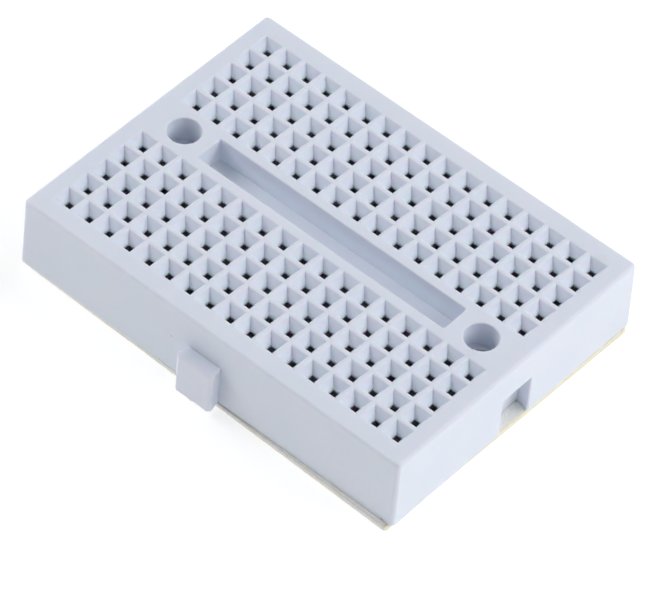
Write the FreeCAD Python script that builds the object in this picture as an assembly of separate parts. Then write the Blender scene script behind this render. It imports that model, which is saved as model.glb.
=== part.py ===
import FreeCAD, Part
import math
import os

from FreeCAD import Placement, Rotation, Vector

# A mini solderless breadboard, in millimetres. The origin is on the surface that it stands on,
# below the middle of the shell. +X runs along the columns of holes, +Z is up.

# The standard tie-point grid
PITCH = 2.54
COLUMNS = 17
ROWS_PER_BANK = 5
INNER_ROW_SPACING = 3 * PITCH

# Adhesive foam pad and its release liner, stuck on slightly askew
LINER_THICKNESS = 0.1
FOAM_THICKNESS = 0.5
PAD_LENGTH = 46.4
PAD_WIDTH = 34.6
PAD_CORNER_RADIUS = 0.3
PAD_SKEW_DEG = -1.0
PAD_SHIFT_Y = -0.15

# Moulded shell
TOP_LENGTH = 46.4
TOP_WIDTH = 34.4
SHELL_HEIGHT = 8.4
DRAFT_DEG = 1.0
CORNER_RADIUS = 0.5
TOP_EDGE_RADIUS = 0.4
BOTTOM_EDGE_RADIUS = 0.15
TOP_PLATE = 1.3

# Wire holes: a square funnel that leads into a square throat
MOUTH_WIDTH = 2.1
THROAT_WIDTH = 0.75
FUNNEL_DEPTH = 1.05
FUNNEL_LIP_RADIUS = 0.25

# Cells that hold the clips, open at the underside
CELL_WIDTH = 2.0
CELL_END_WALL = 0.5

# Centre gutter, and the pocket that cores out the shell below it
GUTTER_LENGTH = 30.6
GUTTER_WIDTH = 3.3
GUTTER_DEPTH = 2.7
GUTTER_DRAFT_DEG = 1.5
GUTTER_CORNER_RADIUS = 0.22
POCKET_LENGTH = 30.0
POCKET_WIDTH = 3.0
POCKET_ROOF = 1.3

# Counterbored screw holes
SCREW_SPACING = 37.0
HEAD_RECESS_RADIUS = 1.7
HEAD_RECESS_DEPTH = 3.0
SCREW_HOLE_RADIUS = 1.1

# Rounding where the gutter and the head recesses break through the top face
MOUTH_LIP_RADIUS = 0.15

# Dovetail tabs and notches that join boards edge to edge
TAB_TOP = 3.65
TAB_DEPTH = 1.5
TAB_ROOT_WIDTH = 3.9
TAB_OUTER_WIDTH = 4.6
TAB_EDGE_RADIUS = 0.35
TAB_EMBED = 0.6
NOTCH_TOP = 3.6
NOTCH_DEPTH = 1.6
NOTCH_SIDE_CLEARANCE = 0.08
NOTCH_FLARE = 0.15

# Spring contact clips, bent from strip
CLIP_GAUGE = 0.2
CLIP_LENGTH = 11.9
CLIP_WIDTH = 1.7
CLIP_HEIGHT = 6.45
CLIP_KNEE_HEIGHT = 2.2
CLIP_PINCH_HEIGHT = 5.6
CLIP_PINCH_GAP = 0.2
CLIP_TIP_OPENING = 1.0
CLIP_BEND_RADIUS = 0.3
LEAF_GAP = 0.6
LEAF_ROOT_HEIGHT = 1.3

# Derived sizes and levels
OVERSHOOT = 1.0
SHELL_BASE = LINER_THICKNESS + FOAM_THICKNESS
SHELL_TOP = SHELL_BASE + SHELL_HEIGHT
DRAFT_INSET = SHELL_HEIGHT * math.tan(math.radians(DRAFT_DEG))
BASE_LENGTH = TOP_LENGTH + 2 * DRAFT_INSET
BASE_WIDTH = TOP_WIDTH + 2 * DRAFT_INSET
CELL_LENGTH = ROWS_PER_BANK * PITCH - CELL_END_WALL
CELL_TOP = SHELL_TOP - TOP_PLATE
BANK_CENTRE = INNER_ROW_SPACING / 2 + (ROWS_PER_BANK - 1) / 2 * PITCH


def column_x(column):
    """X of a column of holes, counted from 0 at the -X end."""
    return (column - (COLUMNS - 1) / 2) * PITCH


def row_y(side, row):
    """Y of a row of holes, counted outwards from the gutter, on side +1 or -1."""
    return side * (INNER_ROW_SPACING / 2 + row * PITCH)


def rounded_rectangle(length, width, radius, z):
    """A closed wire with arc corners, centred on the Z axis."""
    x, y = length / 2, width / 2
    corner_lift = radius * (1 - math.sqrt(0.5))
    edges = []
    for quarter in range(4):
        turn = Rotation(Vector(0, 0, 1), 90 * quarter)
        a, b = (x, y) if quarter % 2 == 0 else (y, x)
        start = Vector(a, b - radius, z)
        middle = Vector(a - corner_lift, b - corner_lift, z)
        end = Vector(a - radius, b, z)
        next_start = Vector(-(a - radius), b, z)
        edges.append(Part.Arc(*(turn.multVec(p) for p in (start, middle, end))).toShape())
        edges.append(Part.LineSegment(turn.multVec(end), turn.multVec(next_start)).toShape())
    return Part.Wire(edges)


def edges_at_height(shape, z):
    """Edges that lie wholly in the level plane at z."""
    return [edge for edge in shape.Edges
            if abs(edge.BoundBox.ZMin - z) < 1e-4 and abs(edge.BoundBox.ZMax - z) < 1e-4]


def shell_block():
    """The drafted outer block with rounded corners and edges."""
    base = rounded_rectangle(BASE_LENGTH, BASE_WIDTH, CORNER_RADIUS, SHELL_BASE)
    top = rounded_rectangle(TOP_LENGTH, TOP_WIDTH, CORNER_RADIUS, SHELL_TOP)
    block = Part.makeLoft([base, top], True, True)
    block = block.makeFillet(TOP_EDGE_RADIUS, edges_at_height(block, SHELL_TOP))
    return block.makeFillet(BOTTOM_EDGE_RADIUS, edges_at_height(block, SHELL_BASE))


def gutter_cutter():
    """The centre gutter, narrowing downwards by its draft."""
    inset = GUTTER_DEPTH * math.tan(math.radians(GUTTER_DRAFT_DEG))
    floor = rounded_rectangle(GUTTER_LENGTH - 2 * inset, GUTTER_WIDTH - 2 * inset,
                              GUTTER_CORNER_RADIUS - inset, SHELL_TOP - GUTTER_DEPTH)
    mouth = rounded_rectangle(GUTTER_LENGTH, GUTTER_WIDTH, GUTTER_CORNER_RADIUS, SHELL_TOP)
    return Part.makeLoft([floor, mouth], True, True)


def screw_hole_cutter(x):
    """A screw hole right through the shell, with a recess for the screw head."""
    hole = Part.makeCylinder(SCREW_HOLE_RADIUS, SHELL_HEIGHT + OVERSHOOT,
                             Vector(x, 0, SHELL_BASE - OVERSHOOT))
    recess = Part.makeCylinder(HEAD_RECESS_RADIUS, HEAD_RECESS_DEPTH,
                               Vector(x, 0, SHELL_TOP - HEAD_RECESS_DEPTH))
    return hole.fuse(recess)


def dovetail(root_width, outer_width, inner_y, outer_y, z_low, z_high):
    """An upright dovetail prism that widens from root_width at inner_y to outer_width at outer_y."""
    corners = [Vector(-root_width / 2, inner_y, z_low), Vector(root_width / 2, inner_y, z_low),
               Vector(outer_width / 2, outer_y, z_low), Vector(-outer_width / 2, outer_y, z_low)]
    outline = Part.makePolygon(corners + corners[:1])
    return Part.Face(outline).extrude(Vector(0, 0, z_high - z_low))


def tab(side_angle, wall_distance):
    """A tab on the wall that faces side_angle degrees round from -Y."""
    outer_y = -(wall_distance + TAB_DEPTH)
    splay = (TAB_OUTER_WIDTH - TAB_ROOT_WIDTH) / TAB_DEPTH
    buried_width = TAB_ROOT_WIDTH - splay * TAB_EMBED
    solid = dovetail(buried_width, TAB_OUTER_WIDTH, -(wall_distance - TAB_EMBED), outer_y,
                     SHELL_BASE, SHELL_TOP - TAB_TOP)
    outer_edges = [edge for edge in solid.Edges
                   if edge.BoundBox.YMax < outer_y + 1e-4 and edge.BoundBox.ZMax > SHELL_BASE + 1e-4]
    solid = solid.makeFillet(TAB_EDGE_RADIUS, outer_edges)
    solid.rotate(Vector(0, 0, 0), Vector(0, 0, 1), side_angle)
    return solid


def upright_rectangle(half_width, y, z_low, z_high):
    """A closed rectangle across Y, centred on X = 0."""
    corners = [Vector(-half_width, y, z_low), Vector(half_width, y, z_low),
               Vector(half_width, y, z_high), Vector(-half_width, y, z_high)]
    return Part.makePolygon(corners + corners[:1])


def notch_cutter(side_angle, wall_distance):
    """The room for a neighbour's tab, open at the underside and at the wall, where it flares."""
    splay = (TAB_OUTER_WIDTH - TAB_ROOT_WIDTH) / TAB_DEPTH
    mouth_width = TAB_ROOT_WIDTH + 2 * NOTCH_SIDE_CLEARANCE
    inner_width = mouth_width + splay * NOTCH_DEPTH
    outside_width = mouth_width - splay * OVERSHOOT
    floor, roof = SHELL_BASE - OVERSHOOT, SHELL_TOP - NOTCH_TOP
    room = dovetail(inner_width, outside_width, -(wall_distance - NOTCH_DEPTH),
                    -(wall_distance + OVERSHOOT), floor, roof)
    flare_half = (mouth_width + splay * NOTCH_FLARE) / 2
    flare_start = upright_rectangle(flare_half, -(wall_distance - NOTCH_FLARE), floor, roof)
    flare_end = upright_rectangle(flare_half + 2 * NOTCH_FLARE, -(wall_distance + NOTCH_FLARE), floor,
                                  roof + 2 * NOTCH_FLARE)
    solid = room.fuse(Part.makeLoft([flare_start, flare_end], True, True))
    solid.rotate(Vector(0, 0, 0), Vector(0, 0, 1), side_angle)
    return solid


def funnel_bar(axis):
    """A bar along axis with the wire hole's outline as its section."""
    mouth, throat = MOUTH_WIDTH / 2, THROAT_WIDTH / 2
    wall_lean = math.atan2(mouth - throat, FUNNEL_DEPTH)
    lip_turn = (math.pi / 2 - wall_lean) / 2
    lip_run = FUNNEL_LIP_RADIUS * math.tan(lip_turn)

    def point(across, z):
        level = SHELL_TOP + z
        return Vector(across, -PITCH, level) if axis == "y" else Vector(-PITCH, across, level)

    def half(sign):
        """Points of one side: above the lip, lip start, lip middle, lip end, throat, bottom."""
        lip_middle = (mouth + lip_run - FUNNEL_LIP_RADIUS * math.sin(lip_turn),
                      -FUNNEL_LIP_RADIUS * (1 - math.cos(lip_turn)))
        lip_end = (mouth - lip_run * math.sin(wall_lean), -lip_run * math.cos(wall_lean))
        path = [(mouth + lip_run, OVERSHOOT), (mouth + lip_run, 0), lip_middle, lip_end,
                (throat, -FUNNEL_DEPTH), (throat, -TOP_PLATE - OVERSHOOT)]
        return [point(sign * across, z) for across, z in path]

    edges = []
    for side in (half(1), half(-1)):
        above, lip_start, lip_middle, lip_end, throat_top, bottom = side
        edges.append(Part.LineSegment(above, lip_start).toShape())
        edges.append(Part.Arc(lip_start, lip_middle, lip_end).toShape())
        edges.append(Part.LineSegment(lip_end, throat_top).toShape())
        edges.append(Part.LineSegment(throat_top, bottom).toShape())
    edges.append(Part.LineSegment(half(1)[0], half(-1)[0]).toShape())
    edges.append(Part.LineSegment(half(1)[-1], half(-1)[-1]).toShape())
    outline = Part.Wire(Part.sortEdges(edges)[0])
    along = Vector(0, 2 * PITCH, 0) if axis == "y" else Vector(2 * PITCH, 0, 0)
    return Part.Face(outline).extrude(along)


def wire_hole_cutters():
    """One square funnel with rolled lips for each tie point."""
    funnel = funnel_bar("x").common(funnel_bar("y"))
    cutters = []
    for column in range(COLUMNS):
        for side in (1, -1):
            for row in range(ROWS_PER_BANK):
                cutters.append(funnel.translated(Vector(column_x(column), row_y(side, row), 0)))
    return cutters


def cell_cutters():
    """One open-bottomed cell for each clip."""
    cutters = []
    for column in range(COLUMNS):
        for side in (1, -1):
            corner = Vector(column_x(column) - CELL_WIDTH / 2,
                            side * BANK_CENTRE - CELL_LENGTH / 2, SHELL_BASE - OVERSHOOT)
            cutters.append(Part.makeBox(CELL_WIDTH, CELL_LENGTH,
                                        CELL_TOP - SHELL_BASE + OVERSHOOT, corner))
    return cutters


def pocket_cutter():
    """The pocket in the underside that keeps the wall below the gutter even."""
    height = SHELL_HEIGHT - GUTTER_DEPTH - POCKET_ROOF + OVERSHOOT
    corner = Vector(-POCKET_LENGTH / 2, -POCKET_WIDTH / 2, SHELL_BASE - OVERSHOOT)
    return Part.makeBox(POCKET_LENGTH, POCKET_WIDTH, height, corner)


def on_mouth(edge):
    """True for the top edges of the gutter and the head recesses."""
    middle = edge.CenterOfMass
    return abs(middle.y) < GUTTER_WIDTH and abs(middle.x) < TOP_LENGTH / 2 - TOP_EDGE_RADIUS - OVERSHOOT


def make_housing():
    """The whole moulded shell."""
    mouth_cuts = [gutter_cutter(), screw_hole_cutter(SCREW_SPACING / 2),
                  screw_hole_cutter(-SCREW_SPACING / 2)]
    shell = shell_block().cut(mouth_cuts)
    mouth_edges = [edge for edge in edges_at_height(shell, SHELL_TOP) if on_mouth(edge)]
    shell = shell.makeFillet(MOUTH_LIP_RADIUS, mouth_edges)
    shell = shell.fuse([tab(0, BASE_WIDTH / 2), tab(-90, BASE_LENGTH / 2)])
    shell = shell.cut([notch_cutter(90, BASE_LENGTH / 2), notch_cutter(180, BASE_WIDTH / 2)])
    return shell.cut(wire_hole_cutters() + cell_cutters() + [pocket_cutter()])


def clip_outline():
    """Closed polygon of the bent strip, seen along Y, before its bends are rounded."""
    wall = CLIP_WIDTH / 2
    pinch = CLIP_PINCH_GAP / 2
    tip = CLIP_TIP_OPENING / 2
    outer = [(-wall, 0), (wall, 0), (wall, CLIP_KNEE_HEIGHT), (pinch + CLIP_GAUGE, CLIP_PINCH_HEIGHT),
             (tip + CLIP_GAUGE, CLIP_HEIGHT)]
    inner_right = [(tip, CLIP_HEIGHT), (pinch, CLIP_PINCH_HEIGHT),
                   (wall - CLIP_GAUGE, CLIP_KNEE_HEIGHT), (wall - CLIP_GAUGE, CLIP_GAUGE)]
    inner_left = [(-x, z) for x, z in reversed(inner_right)]
    outer_left = [(-x, z) for x, z in reversed(outer[2:])]
    return outer + inner_right + inner_left + outer_left


def make_clip(column, side):
    """A U of spring strip with five pairs of leaves that lean together and flare at the tips."""
    points = [Vector(x, -CLIP_LENGTH / 2, z) for x, z in clip_outline()]
    strip = Part.Face(Part.makePolygon(points + points[:1])).extrude(Vector(0, CLIP_LENGTH, 0))
    base_bends = [edge for edge in strip.Edges
                  if edge.BoundBox.YLength > CLIP_LENGTH - 1e-3 and edge.BoundBox.ZMax < 1e-4]
    strip = strip.makeFillet(CLIP_BEND_RADIUS, base_bends)
    gaps = []
    for leaf in range(1, ROWS_PER_BANK):
        gap_y = (leaf - ROWS_PER_BANK / 2) * PITCH
        corner = Vector(-CLIP_WIDTH, gap_y - LEAF_GAP / 2, LEAF_ROOT_HEIGHT)
        gaps.append(Part.makeBox(2 * CLIP_WIDTH, LEAF_GAP, CLIP_HEIGHT, corner))
    clip = strip.cut(gaps)
    clip.translate(Vector(column_x(column), side * BANK_CENTRE, SHELL_BASE))
    return clip


def pad_layer(z_low, thickness):
    """A flat sheet cut to the pad's outline and stuck on askew."""
    outline = rounded_rectangle(PAD_LENGTH, PAD_WIDTH, PAD_CORNER_RADIUS, z_low)
    layer = Part.Face(outline).extrude(Vector(0, 0, thickness))
    skew = Rotation(Vector(0, 0, 1), PAD_SKEW_DEG)
    layer.Placement = Placement(Vector(0, PAD_SHIFT_Y, 0), skew)
    return layer


def export(shape, name):
    """Write one node's STEP file, after checking that it is one sound solid."""
    solid = shape.Solids[0]
    if len(shape.Solids) != 1 or not solid.isValid():
        raise RuntimeError(f"{name}: {len(shape.Solids)} solids, valid {solid.isValid()}")
    solid.exportStep(f"parts/{name}.step")
    print(f"{name}: {solid.Volume:.2f} mm3")


def main():
    os.makedirs("parts", exist_ok=True)
    export(make_housing(), "housing")
    for bank, side in (("a", 1), ("b", -1)):
        for column in range(COLUMNS):
            export(make_clip(column, side), f"contact_clip_{bank}{column + 1:02d}")
    export(pad_layer(LINER_THICKNESS, FOAM_THICKNESS), "foam_pad")
    export(pad_layer(0, LINER_THICKNESS), "release_liner")


main()
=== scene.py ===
import math

import bmesh
import bpy
from mathutils import Matrix, Vector, noise


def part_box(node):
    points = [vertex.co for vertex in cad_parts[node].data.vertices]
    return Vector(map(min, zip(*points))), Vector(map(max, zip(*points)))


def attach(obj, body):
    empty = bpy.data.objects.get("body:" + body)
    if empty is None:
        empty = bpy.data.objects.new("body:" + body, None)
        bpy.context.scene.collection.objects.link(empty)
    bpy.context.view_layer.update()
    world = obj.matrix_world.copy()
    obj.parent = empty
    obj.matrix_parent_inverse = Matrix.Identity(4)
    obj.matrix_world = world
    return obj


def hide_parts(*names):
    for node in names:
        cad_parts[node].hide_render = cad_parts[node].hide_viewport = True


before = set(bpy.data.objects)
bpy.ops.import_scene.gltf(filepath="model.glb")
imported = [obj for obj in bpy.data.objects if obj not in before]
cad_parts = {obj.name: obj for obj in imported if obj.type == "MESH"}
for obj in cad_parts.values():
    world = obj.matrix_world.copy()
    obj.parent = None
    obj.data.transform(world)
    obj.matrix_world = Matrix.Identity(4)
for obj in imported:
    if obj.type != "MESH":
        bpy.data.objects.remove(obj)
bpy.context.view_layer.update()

MM = 0.001
SHELL_LOW, SHELL_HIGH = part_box("housing")
FOAM_LOW, FOAM_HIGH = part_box("foam_pad")
LINER_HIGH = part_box("release_liner")[1]

# Camera, as angles round the shell and a point on its top face
CAMERA_AZIMUTH = math.radians(36.90)
CAMERA_ELEVATION = math.radians(48.50)
CAMERA_ROLL = math.radians(5.69)
CAMERA_DISTANCE = 456.1 * MM
CAMERA_AIM = Vector((5.6 * MM, -6.7 * MM, SHELL_HIGH.z))
CAMERA_LENS = 270.6

# Pad and liner, cut together and stuck on askew; the liner has crept towards the back
PAD_SKEW = math.radians(-1.0)
PAD_CORNER = 0.3 * MM
CORNER_STEPS = 6
LINER_CREEP = Vector((0, 0.1 * MM, 0))

# Interlock tabs
TAB_OUTER_HALF = 2.3 * MM
TAB_EDGE_RADIUS = 0.35 * MM

# Edge of the foam: where it stands, how far it bulges and how rough the cut is
FOAM_STEP = 0.2 * MM
FOAM_LEVELS = 6
FOAM_INSETS = (3.0 * MM, 1.2 * MM, 0.4 * MM)
FOAM_SET_BACK = 0.05 * MM
FOAM_BULGE = 0.03 * MM
FOAM_ROUGH_SIZE = 0.35 * MM
FOAM_ROUGH_DEPTH = 0.03 * MM
FOAM_CELL = 0.16 * MM

# Liner: paper gauge, and the waves along its edge
LINER_GAUGE = 0.07 * MM
LINER_STEP = 0.5 * MM
LINER_SETTLED = 3.0 * MM
LINER_INSETS = (LINER_SETTLED, 1.5 * MM, 0.6 * MM, 0.15 * MM, 0.02 * MM)
LINER_WAVE = 9 * MM

# Moulding flash below a tab; places are shares of the tab's width
FLASH_STEPS = 60
FLASH_GAUGE = 0.05 * MM
FLASH_LEAST_DROP = 0.015 * MM
FLASH_ROUGH_SIZE = 0.4 * MM
FLASH_TORN_DROP = 0.15 * MM
FLASH_TORN_END = 0.55
FLASH_TEAR_WIDTH = 0.02
FLASH_NIB_DROP = 0.15 * MM
FLASH_NIB_PLACE = 0.96
FLASH_NIB_WIDTH = 0.03

# Softboxes: name, azimuth off -Y and elevation in degrees, power in watts. A least-squares fit run
# outside this script picked them from fifteen trial directions and gave the powers, then rounded.
SOFTBOX_DISTANCE = 0.6
SOFTBOX_SIZE = 0.30
SOFTBOXES = [
    ("side_left", -80, 35, 1.72),
    ("right_rear", 120, 35, 1.22),
    ("back", 160, 35, 0.82),
    ("side_right", 80, 35, 0.64),
    ("front_left", -40, 35, 0.61),
    ("high_back", 160, 60, 0.42),
    ("high_right", 80, 60, 0.10),
]
FLOOR_HALF = 1.5

# Dark spots on the shell, specks and smudges, the last one painted shade at the foot of the front right
# corner: place from the middle of its top face and radius, in millimetres, and strength
SHELL_SPECKS_AND_SHADE = [
    ((-4.2, -17.3, -4.0), 0.16, 0.30),
    ((15.45, -3.55, -0.35), 0.15, 0.55),
    ((19.0, -2.3, 0.0), 0.9, 0.05),
    ((20.5, 15.0, 0.0), 1.1, 0.05),
    # Painted shade at the foot of the front right corner, where the shell meets the pad
    ((22.1, -17.3, -8.3), 0.30, 0.45),
]


# ---------------------------------------------------------------- node helpers

def new_material(name):
    """A node material, its tree and its Principled shader."""
    made = bpy.data.materials.new(name)
    made.use_nodes = True
    return made, made.node_tree, made.node_tree.nodes["Principled BSDF"]


def object_coordinates(tree, stretch=(1, 1, 1)):
    """Object coordinates, in metres, stretched along each axis."""
    source = tree.nodes.new("ShaderNodeTexCoord")
    mapping = tree.nodes.new("ShaderNodeMapping")
    mapping.inputs["Scale"].default_value = stretch
    tree.links.new(source.outputs["Object"], mapping.inputs["Vector"])
    return mapping.outputs["Vector"]


def noise_factor(tree, vector, size, detail=2.0, roughness=0.5):
    """Smooth noise whose features are about size metres across."""
    node = tree.nodes.new("ShaderNodeTexNoise")
    node.inputs["Scale"].default_value = 1 / size
    node.inputs["Detail"].default_value = detail
    node.inputs["Roughness"].default_value = roughness
    tree.links.new(vector, node.inputs["Vector"])
    return node.outputs["Fac"]


def cell_distance(tree, vector, size):
    """Distance to the nearest cell centre, for cells about size metres across."""
    node = tree.nodes.new("ShaderNodeTexVoronoi")
    node.inputs["Scale"].default_value = 1 / size
    tree.links.new(vector, node.inputs["Vector"])
    return node.outputs["Distance"]


def ramp(tree, factor, stops):
    """A colour ramp from (position, colour) stops."""
    node = tree.nodes.new("ShaderNodeValToRGB")
    while len(node.color_ramp.elements) < len(stops):
        node.color_ramp.elements.new(0.5)
    for element, (position, colour) in zip(node.color_ramp.elements, stops):
        element.position = position
        element.color = (*colour, 1)
    tree.links.new(factor, node.inputs["Fac"])
    return node.outputs["Color"]


def remap(tree, value, low, high, to_low, to_high):
    """value from low..high onto to_low..to_high, clamped."""
    node = tree.nodes.new("ShaderNodeMapRange")
    for name, number in (("From Min", low), ("From Max", high), ("To Min", to_low), ("To Max", to_high)):
        node.inputs[name].default_value = number
    tree.links.new(value, node.inputs["Value"])
    return node.outputs["Result"]


def mix_colours(tree, factor, first, second):
    """Mix two colours, each a socket or an RGB triple."""
    node = tree.nodes.new("ShaderNodeMix")
    node.data_type = "RGBA"
    sockets = [s for s in node.inputs if s.enabled and s.type == "RGBA"]
    for socket, colour in zip(sockets, (first, second)):
        if isinstance(colour, bpy.types.NodeSocket):
            tree.links.new(colour, socket)
        else:
            socket.default_value = (*colour, 1)
    tree.links.new(factor, node.inputs["Factor"])
    return next(s for s in node.outputs if s.enabled)


def add_bump(tree, shader, height, distance, strength=1.0, before=None):
    """Bump from a height socket; distance is how deep the full range is, in metres."""
    node = tree.nodes.new("ShaderNodeBump")
    node.inputs["Distance"].default_value = distance
    node.inputs["Strength"].default_value = strength
    tree.links.new(height, node.inputs["Height"])
    if before is not None:
        tree.links.new(before, node.inputs["Normal"])
    tree.links.new(node.outputs["Normal"], shader.inputs["Normal"])
    return node.outputs["Normal"]


# ---------------------------------------------------------------- materials

def dark_spot_factor(tree, where, place, radius, strength):
    """A soft round spot of the given strength at a place in the shell's frame, in millimetres."""
    distance = tree.nodes.new("ShaderNodeVectorMath")
    distance.operation = "DISTANCE"
    tree.links.new(where, distance.inputs[0])
    distance.inputs[1].default_value = (place[0] * MM, place[1] * MM, SHELL_HIGH.z + place[2] * MM)
    return remap(tree, distance.outputs["Value"], 0.4 * radius * MM, radius * MM, strength, 0)


def abs_material():
    """Satin white ABS with a faint blue-lavender cast, mould grain and a little depth."""
    made, tree, shader = new_material("moulded_abs")
    where = object_coordinates(tree)
    clouds = noise_factor(tree, where, 6 * MM, 2)
    colour = ramp(tree, clouds, [(0.30, (0.728, 0.778, 0.872)), (0.70, (0.752, 0.792, 0.884))])
    # Darken round each spot: specks and smudges, and painted shade at the foot of the front right corner
    for place, radius, strength in SHELL_SPECKS_AND_SHADE:
        spot = dark_spot_factor(tree, where, place, radius, strength)
        colour = mix_colours(tree, spot, colour, (0.16, 0.13, 0.11))
    tree.links.new(colour, shader.inputs["Base Color"])
    grain = noise_factor(tree, where, 0.12 * MM, 3)
    tree.links.new(remap(tree, grain, 0.3, 0.7, 0.42, 0.55), shader.inputs["Roughness"])
    shader.inputs["Subsurface Weight"].default_value = 0.6
    shader.inputs["Subsurface Radius"].default_value = (1.5, 0.9, 1.2)
    shader.inputs["Subsurface Scale"].default_value = 0.5 * MM
    shader.inputs["IOR"].default_value = 1.5
    flow = noise_factor(tree, where, 1.5 * MM, 2)
    waves = add_bump(tree, shader, flow, 0.004 * MM)
    add_bump(tree, shader, grain, 0.003 * MM, before=waves)
    return made


def clip_material():
    """Nickel-plated bronze strip: rolled streaks along the strip and dull patches."""
    made, tree, shader = new_material("plated_bronze")
    where = object_coordinates(tree)
    streaks = noise_factor(tree, object_coordinates(tree, (8, 0.4, 8)), 1.2 * MM, 3)
    patches = noise_factor(tree, where, 1.8 * MM, 3, 0.6)
    metal = ramp(tree, patches, [(0.35, (0.62, 0.58, 0.52)), (0.62, (0.80, 0.78, 0.75))])
    tree.links.new(metal, shader.inputs["Base Color"])
    tree.links.new(remap(tree, streaks, 0.3, 0.7, 0.42, 0.60), shader.inputs["Roughness"])
    shader.inputs["Metallic"].default_value = 1.0
    add_bump(tree, shader, streaks, 0.004 * MM)
    return made


def lit_edge_tint(tree, where):
    """Painted light: how far the pad's edge is tinted warm where the lamps on the right light it;
    nothing over the pad, all the way at its right edge.
    """
    right = Matrix.Rotation(PAD_SKEW, 3, "Z") @ Vector((1, 0, 0))
    edge = right.dot((FOAM_LOW + FOAM_HIGH) / 2) + pad_sides()[0] / 2
    across = tree.nodes.new("ShaderNodeVectorMath")
    across.operation = "DOT_PRODUCT"
    tree.links.new(where, across.inputs[0])
    across.inputs[1].default_value = right
    return remap(tree, across.outputs["Value"], edge - 0.45 * MM, edge - 0.10 * MM, 0, 0.5)


def foam_material():
    """White closed-cell foam with cut cells on its edge, painted shade in the cells, and a painted warm
    light tint along the right side.
    """
    made, tree, shader = new_material("pad_foam")
    where = object_coordinates(tree)
    cells = cell_distance(tree, where, FOAM_CELL)
    mottle = noise_factor(tree, where, 0.7 * MM, 3)
    # Painted shade: the middles of the cells, their hollows, are darker
    painted_cell_shade = ramp(tree, cells, [(0.10, (0.80, 0.80, 0.775)), (0.55, (0.90, 0.90, 0.875))])
    colour = mix_colours(tree, remap(tree, mottle, 0.45, 0.70, 0, 0.5), painted_cell_shade, (0.84, 0.80, 0.70))
    # Painted light: the right edge, lit by the lamps on that side, is tinted warm
    colour = mix_colours(tree, lit_edge_tint(tree, where), colour, (0.88, 0.80, 0.56))
    tree.links.new(colour, shader.inputs["Base Color"])
    shader.inputs["Roughness"].default_value = 0.75
    shader.inputs["Subsurface Weight"].default_value = 0.15
    shader.inputs["Subsurface Scale"].default_value = 0.3 * MM
    add_bump(tree, shader, cells, 0.05 * MM, 0.7)
    return made


def paper_material():
    """Pale yellow waxed release paper with short fibres."""
    made, tree, shader = new_material("release_paper")
    where = object_coordinates(tree)
    fibres = noise_factor(tree, object_coordinates(tree, (1, 4, 4)), 0.35 * MM, 4, 0.65)
    clouds = noise_factor(tree, where, 4 * MM, 3)
    yellow = ramp(tree, clouds, [(0.3, (0.87, 0.79, 0.50)), (0.7, (0.90, 0.83, 0.57))])
    colour = mix_colours(tree, remap(tree, fibres, 0.35, 0.7, 0, 0.4), yellow, (0.92, 0.88, 0.70))
    tree.links.new(colour, shader.inputs["Base Color"])
    tree.links.new(remap(tree, fibres, 0.3, 0.7, 0.42, 0.55), shader.inputs["Roughness"])
    add_bump(tree, shader, fibres, 0.01 * MM)
    return made


def floor_material():
    """A plain pale table that glows, so that only the closest shadow shows."""
    made, tree, shader = new_material("floor_white")
    where = object_coordinates(tree)
    paint = ramp(tree, noise_factor(tree, where, 40 * MM, 2),
                 [(0.3, (0.55, 0.55, 0.55)), (0.7, (0.57, 0.57, 0.57))])
    tree.links.new(paint, shader.inputs["Base Color"])
    shader.inputs["Roughness"].default_value = 0.6
    shader.inputs["Emission Color"].default_value = (1, 1, 1, 1)
    shader.inputs["Emission Strength"].default_value = 0.6
    return made


# ---------------------------------------------------------------- mesh helpers

def mesh_object(name, bm, material, smooth=True):
    """Turn a bmesh into a linked object with one material."""
    bmesh.ops.recalc_face_normals(bm, faces=bm.faces)
    data = bpy.data.meshes.new(name)
    bm.to_mesh(data)
    bm.free()
    for polygon in data.polygons:
        polygon.use_smooth = smooth
    data.materials.append(material)
    made = bpy.data.objects.new(name, data)
    bpy.context.scene.collection.objects.link(made)
    return made


def pad_sides():
    """Length and width of the askew pad, worked out from the box round it."""
    span = FOAM_HIGH - FOAM_LOW
    c, s = math.cos(PAD_SKEW), abs(math.sin(PAD_SKEW))
    rounding = 2 * PAD_CORNER * (c + s - 1)
    outer_x, outer_y = span.x + rounding, span.y + rounding
    turn = c * c - s * s
    return (outer_x * c - outer_y * s) / turn, (outer_y * c - outer_x * s) / turn


def pad_outline(step, inset=0.0):
    """Points and outward directions round the pad's outline, moved in by inset, at z 0.

    Every inset gives the same number of points, so that outlines join into bands.
    """
    length, width = pad_sides()
    centre = (FOAM_LOW + FOAM_HIGH) / 2
    skew = Matrix.Rotation(PAD_SKEW, 4, "Z")
    place = Matrix.Translation((centre.x, centre.y, 0)) @ skew
    half_x, half_y = length / 2 - PAD_CORNER, width / 2 - PAD_CORNER
    quarters = ((1, 1), (-1, 1), (-1, -1), (1, -1))
    shrunk = [(x * (half_x - inset), y * (half_y - inset)) for x, y in quarters]
    points = []
    for quarter, (x, y) in enumerate(shrunk):
        for k in range(CORNER_STEPS + 1):
            angle = math.radians(90) * (quarter + k / CORNER_STEPS)
            out = Vector((math.cos(angle), math.sin(angle), 0))
            points.append((Vector((x, y, 0)) + out * PAD_CORNER, out))
        start = points[-1][0]
        end = Vector((*shrunk[(quarter + 1) % 4], 0)) + out * PAD_CORNER
        side = length if quarter % 2 == 0 else width
        pieces = round(side / step)
        points += [(start.lerp(end, k / pieces), out) for k in range(1, pieces)]
    return [(place @ p, skew @ out) for p, out in points]


def layered_sheet(name, material, rings):
    """A closed flat solid from rings of points, from inside the underside to inside the top."""
    bm = bmesh.new()
    loops = [[bm.verts.new(p) for p in ring] for ring in rings]
    count = len(loops[0])
    for lower, upper in zip(loops, loops[1:]):
        for k in range(count):
            after = (k + 1) % count
            bm.faces.new((lower[k], lower[after], upper[after], upper[k]))
    bm.faces.new(loops[0])
    bm.faces.new(loops[-1])
    return mesh_object(name, bm, material)


# ---------------------------------------------------------------- pieces

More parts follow.
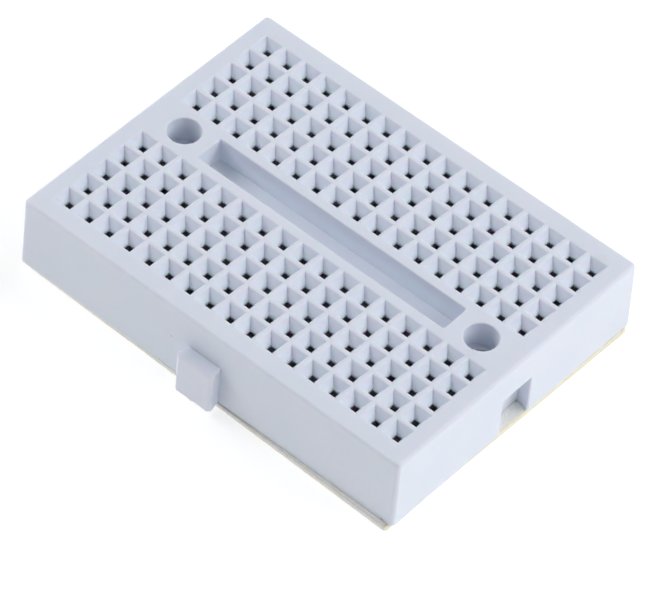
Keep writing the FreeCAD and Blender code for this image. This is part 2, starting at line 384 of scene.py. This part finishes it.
def foam_pad(material):
    """The foam pad, with a knife-cut edge of open cells that bulges a little."""
    low, high = FOAM_LOW.z, FOAM_HIGH.z

    def flat_ring(inset, z):
        return [p + Vector((0, 0, z)) for p, out in pad_outline(FOAM_STEP, inset)]

    rings = [flat_ring(inset, low) for inset in FOAM_INSETS]
    for level in range(FOAM_LEVELS + 1):
        share = level / FOAM_LEVELS
        lift = Vector((0, 0, low + share * (high - low)))
        bulge = FOAM_BULGE * math.sin(math.pi * share)
        ring = []
        for p, out in pad_outline(FOAM_STEP):
            rough = noise.noise((p + lift) / FOAM_ROUGH_SIZE) * FOAM_ROUGH_DEPTH
            ring.append(p + out * (bulge + rough - FOAM_SET_BACK) + lift)
        rings.append(ring)
    rings += [flat_ring(inset, high) for inset in reversed(FOAM_INSETS)]
    pad = layered_sheet("foam_pad_cut", material, rings)
    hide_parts("foam_pad")
    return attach(pad, "board")


def release_liner(material):
    """The paper liner, lifting by a hair from the foam here and there along its edge."""
    room = LINER_HIGH.z - LINER_GAUGE

    def ring(inset, height):
        points = []
        for p, out in pad_outline(LINER_STEP, inset):
            wave = (1 - inset / LINER_SETTLED) * noise.noise(p / LINER_WAVE)
            points.append(p + LINER_CREEP + Vector((0, 0, room * (0.5 + 0.5 * wave) + height)))
        return points

    rings = [ring(inset, 0) for inset in LINER_INSETS]
    rings += [ring(inset, LINER_GAUGE) for inset in reversed(LINER_INSETS)]
    liner = layered_sheet("release_liner_paper", material, rings)
    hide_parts("release_liner")
    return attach(liner, "liner")


def tab_flash(name, middle, along, out, material):
    """The ragged moulding flash below a tab's outer face, torn off part way, and its end nib."""
    bm = bmesh.new()
    half_span = TAB_OUTER_HALF - TAB_EDGE_RADIUS
    buried = Vector((0, 0, FLASH_GAUGE))
    rows = []
    for k in range(FLASH_STEPS + 1):
        share = k / FLASH_STEPS
        p = middle + along * half_span * (2 * share - 1)
        ragged = 0.7 + 0.5 * noise.noise(p / FLASH_ROUGH_SIZE)
        torn = FLASH_TORN_DROP * min(1, max(0, (FLASH_TORN_END - share) / FLASH_TEAR_WIDTH))
        nib = FLASH_NIB_DROP * math.exp(-((share - FLASH_NIB_PLACE) / FLASH_NIB_WIDTH) ** 2)
        drop = Vector((0, 0, -(FLASH_LEAST_DROP + (torn + nib) * ragged)))
        rows.append([bm.verts.new(p + buried), bm.verts.new(p + drop),
                     bm.verts.new(p - out * FLASH_GAUGE + drop),
                     bm.verts.new(p - out * 2 * FLASH_GAUGE + buried)])
    for first, second in zip(rows, rows[1:]):
        for k in range(4):
            bm.faces.new((first[k], first[(k + 1) % 4], second[(k + 1) % 4], second[k]))
    bm.faces.new(rows[0])
    bm.faces.new(rows[-1])
    flash = mesh_object(name, bm, material)
    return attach(flash, "board")


def both_flashes(material):
    """Flash on the front and left tabs, whose outer faces are the shell's furthest out."""
    tab_flash("tab_flash_front", Vector((0, SHELL_LOW.y, SHELL_LOW.z)), Vector((1, 0, 0)),
              Vector((0, -1, 0)), material)
    tab_flash("tab_flash_left", Vector((SHELL_LOW.x, 0, SHELL_LOW.z)), Vector((0, -1, 0)),
              Vector((-1, 0, 0)), material)


def dress_cad_nodes(shell_material, metal_material):
    """Give the shell and the clips their materials; pieces of their own replace the other nodes."""
    for name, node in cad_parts.items():
        if name == "housing":
            material, slot = shell_material, "shell_abs"
        elif name.startswith("contact_clip"):
            material, slot = metal_material, "clip_metal"
        else:
            continue
        node.data.materials.clear()
        node.data.materials.append(material)


# ---------------------------------------------------------------- stage

def make_floor(material):
    """A wide flat table top."""
    bm = bmesh.new()
    quarters = ((-1, -1), (1, -1), (1, 1), (-1, 1))
    corners = [bm.verts.new((x * FLOOR_HALF, y * FLOOR_HALF, 0)) for x, y in quarters]
    bm.faces.new(corners)
    mesh_object("floor", bm, material, smooth=False)


def softbox(name, azimuth, elevation, power):
    """A square area light that faces the shell from an azimuth off -Y and an elevation, in degrees."""
    light = bpy.data.lights.new(name, "AREA")
    light.shape = "SQUARE"
    light.size = SOFTBOX_SIZE
    light.energy = power
    made = bpy.data.objects.new(name, light)
    a, e = math.radians(azimuth), math.radians(elevation)
    back = Vector((math.sin(a) * math.cos(e), -math.cos(a) * math.cos(e), math.sin(e)))
    made.location = back * SOFTBOX_DISTANCE
    made.rotation_mode = "QUATERNION"
    made.rotation_quaternion = (-back).to_track_quat("-Z", "Y")
    bpy.context.scene.collection.objects.link(made)


def light_scene():
    """The softboxes, and a faint even fill."""
    for name, azimuth, elevation, power in SOFTBOXES:
        softbox(name, azimuth, elevation, power)
    world = bpy.data.worlds.new("tent")
    world.use_nodes = True
    background = world.node_tree.nodes["Background"]
    background.inputs["Color"].default_value = (1, 1, 1, 1)
    background.inputs["Strength"].default_value = 0.02
    bpy.context.scene.world = world
    bpy.context.scene.view_settings.view_transform = "Standard"


def make_camera():
    """The photographer's long lens, looking down at the front right corner."""
    data = bpy.data.cameras.new("camera")
    data.lens = CAMERA_LENS
    data.sensor_width = 36
    made = bpy.data.objects.new("camera", data)
    level = math.cos(CAMERA_ELEVATION)
    back = Vector((math.sin(CAMERA_AZIMUTH) * level, -math.cos(CAMERA_AZIMUTH) * level,
                   math.sin(CAMERA_ELEVATION)))
    right = Vector((0, 0, 1)).cross(back).normalized()
    up = back.cross(right)
    turn = Matrix((right, up, back)).transposed() @ Matrix.Rotation(CAMERA_ROLL, 3, "Z")
    made.matrix_world = Matrix.Translation(CAMERA_AIM + back * CAMERA_DISTANCE) @ turn.to_4x4()
    bpy.context.scene.collection.objects.link(made)
    bpy.context.scene.camera = made


make_camera()
light_scene()
make_floor(floor_material())
shell_abs = abs_material()
dress_cad_nodes(shell_abs, clip_material())
foam_pad(foam_material())
release_liner(paper_material())
both_flashes(shell_abs)
